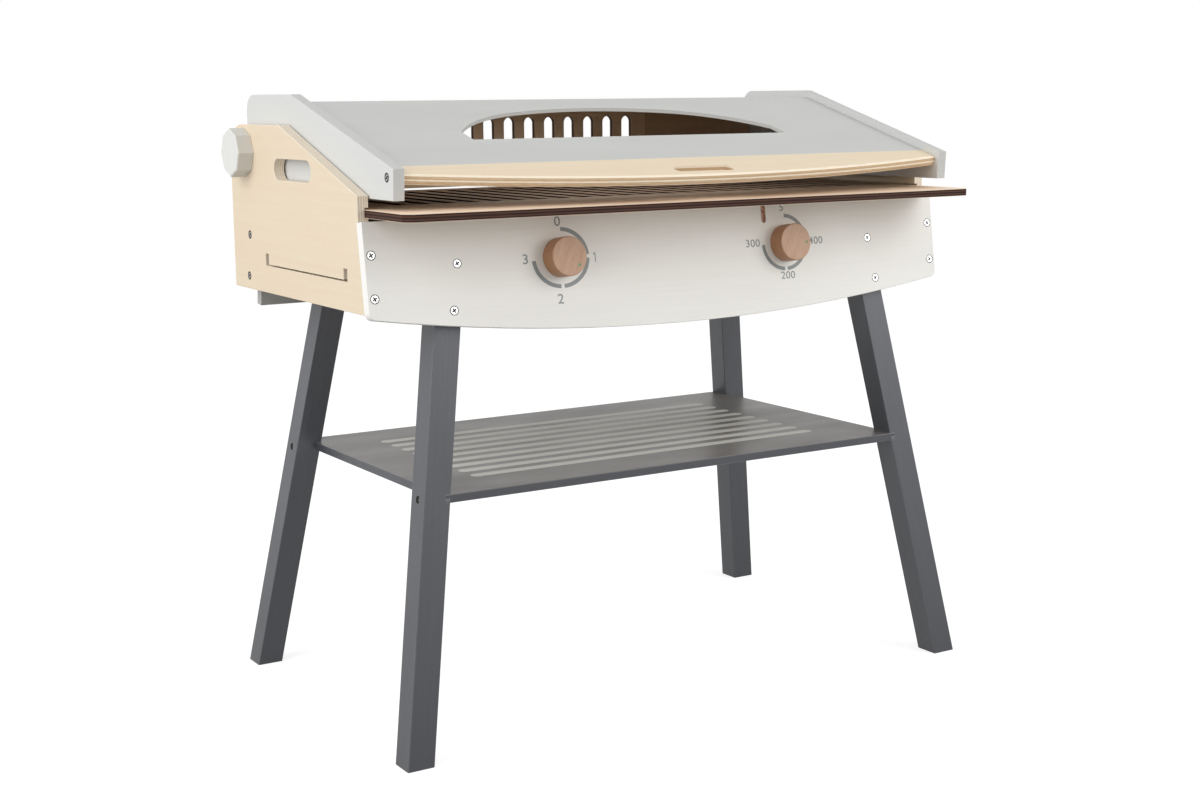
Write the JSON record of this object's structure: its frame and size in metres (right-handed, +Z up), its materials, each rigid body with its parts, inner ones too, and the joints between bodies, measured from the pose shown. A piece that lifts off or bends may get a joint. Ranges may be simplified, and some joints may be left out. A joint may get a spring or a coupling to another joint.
{
  "type": "toy barbecue grill",
  "caption": "Child's wooden toy barbecue: splayed legs with a shelf, box body with turning dials, sliding grate and a hinged lid with a window.",
  "frame": {"origin": "middle of the overall box at floor level", "axes": "+Z up, front with the dials towards -Y, +X along the width"},
  "size_m": [0.7776, 0.457, 0.676],
  "materials": {
    "birch_ply": "matte clear lacquer on birch plywood",
    "laser_cut_ply": "thin birch plywood with dark laser-burnt edges",
    "cream_paint": "satin off-white paint on plywood",
    "grey_paint": "satin light grey paint on plywood",
    "charcoal_paint": "satin charcoal paint on wood",
    "beech": "oiled beech",
    "zinc_screw": "bright zinc-plated steel"
  },
  "bodies": {
    "stand": {"leg_front_left": "charcoal_paint", "leg_front_right": "charcoal_paint", "leg_back_left": "charcoal_paint", "leg_back_right": "charcoal_paint", "shelf": "charcoal_paint", "bottom_board": "birch_ply", "side_panel_left": "birch_ply", "side_panel_right": "birch_ply", "front_panel": "cream_paint", "back_panel": "grey_paint", "front_screws": "zinc_screw", "back_screws": "zinc_screw", "side_screws": "zinc_screw", "shelf_screws": "zinc_screw"},
    "grate": {"grate_board": "laser_cut_ply"},
    "lid": {"lid_cheek_left": "grey_paint", "lid_cheek_right": "grey_paint", "lid_window_panel": "grey_paint", "lid_top_board": "grey_paint", "lid_vent_board": "laser_cut_ply", "lid_handle_board": "birch_ply", "lid_screws": "zinc_screw", "pivot_nut_left": "zinc_screw", "pivot_nut_right": "zinc_screw"},
    "pivot_left": {"pivot_knob_left": "grey_paint", "pivot_bolt_left": "zinc_screw"},
    "dial_left": {"dial_knob_left": "beech", "dial_spindle_left": "beech"},
    "pivot_right": {"pivot_knob_right": "grey_paint", "pivot_bolt_right": "zinc_screw"},
    "dial_right": {"dial_knob_right": "beech", "dial_spindle_right": "beech"}
  },
  "joints": [
    {"name": "lid_hinge", "type": "hinge", "parent": "stand", "child": "lid", "pos_m": [0, 0.1676, 0.612], "axis": [-1, 0, 0], "range_deg": [0, 100]},
    {"name": "grate_slide", "type": "slide", "parent": "stand", "child": "grate", "axis": [0, -1, 0], "range_m": [0, 0.25]},
    {"name": "pivot_turn_left", "type": "hinge", "parent": "stand", "child": "pivot_left", "pos_m": [-0.3705, 0.1676, 0.612], "axis": [-1, 0, 0], "continuous": true},
    {"name": "dial_turn_left", "type": "hinge", "parent": "stand", "child": "dial_left", "pos_m": [-0.1488, -0.15397, 0.5046], "axis": [0, -0.9903, 0.1386], "continuous": true},
    {"name": "pivot_turn_right", "type": "hinge", "parent": "stand", "child": "pivot_right", "pos_m": [0.3705, 0.1676, 0.612], "axis": [1, 0, 0], "continuous": true},
    {"name": "dial_turn_right", "type": "hinge", "parent": "stand", "child": "dial_right", "pos_m": [0.1488, -0.15397, 0.5046], "axis": [0, -0.9903, 0.1386], "continuous": true}
  ]
}
